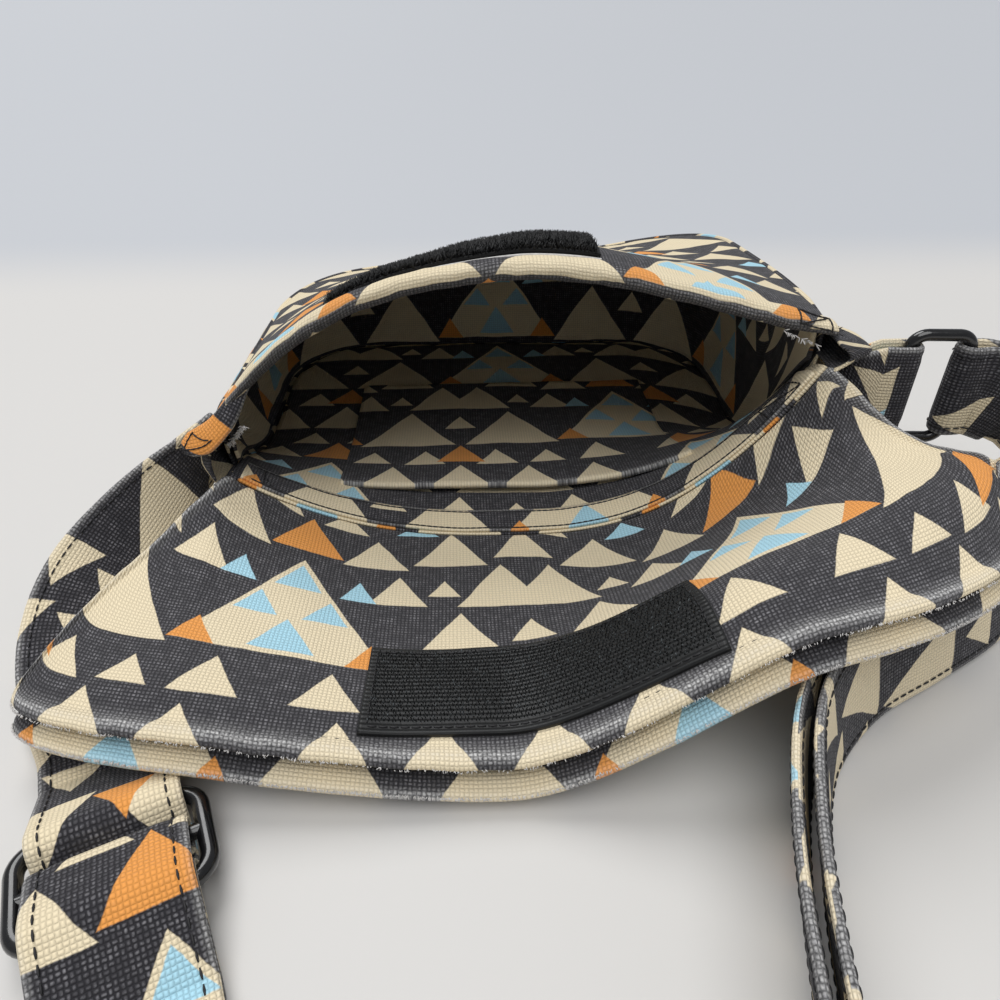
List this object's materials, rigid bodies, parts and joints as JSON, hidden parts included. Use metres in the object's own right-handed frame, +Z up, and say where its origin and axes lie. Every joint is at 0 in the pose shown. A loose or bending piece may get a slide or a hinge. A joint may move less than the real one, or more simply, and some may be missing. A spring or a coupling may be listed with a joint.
{
  "type": "crossbody bag",
  "caption": "Soft printed canvas crossbody bag lying open on its back, with a wide turned-out flap, hook-and-loop closure, slip pocket and an adjustable strap with slider and ring.",
  "frame": {"origin": "middle of the back panel's outer face, on the surface that the bag lies on", "axes": "+Y from the mouth to the bag's bottom seam, +Z up from the back panel to the front panel, +X to the right seen from the mouth"},
  "size_m": [0.3214, 0.4425, 0.0967],
  "materials": {
    "canvas": "printed cotton canvas, plain weave, washed",
    "lining": "printed cotton canvas, plain weave",
    "hook_tape": "woven nylon hook tape",
    "loop_tape": "brushed nylon loop pile",
    "black_metal": "glossy black enamel on steel wire"
  },
  "bodies": {
    "bag": {"front_panel": "canvas", "front_lining": "lining", "back_panel": "canvas", "back_lining": "lining", "gusset": "canvas", "gusset_lining": "lining", "flap_outer": "canvas", "flap_lining": "canvas", "hook_tape": "hook_tape", "loop_tape": "loop_tape", "mouth_facing": "canvas", "inner_pocket": "lining", "strap": "canvas", "ring_tab": "canvas"},
    "slider": {"slider": "black_metal"},
    "ring": {"ring": "black_metal"}
  },
  "joints": [
    {"name": "slider_travel", "type": "slide", "parent": "bag", "child": "slider", "axis": [0.4067, -0.9135, 0], "range_m": [0, 0.03], "deforming": ["strap"]},
    {"name": "ring_swing", "type": "hinge", "parent": "bag", "child": "ring", "pos_m": [0.12705, -0.0671, 0.048], "axis": [0, 0, 1], "range_deg": [-40, 40], "deforming": ["strap"]}
  ]
}
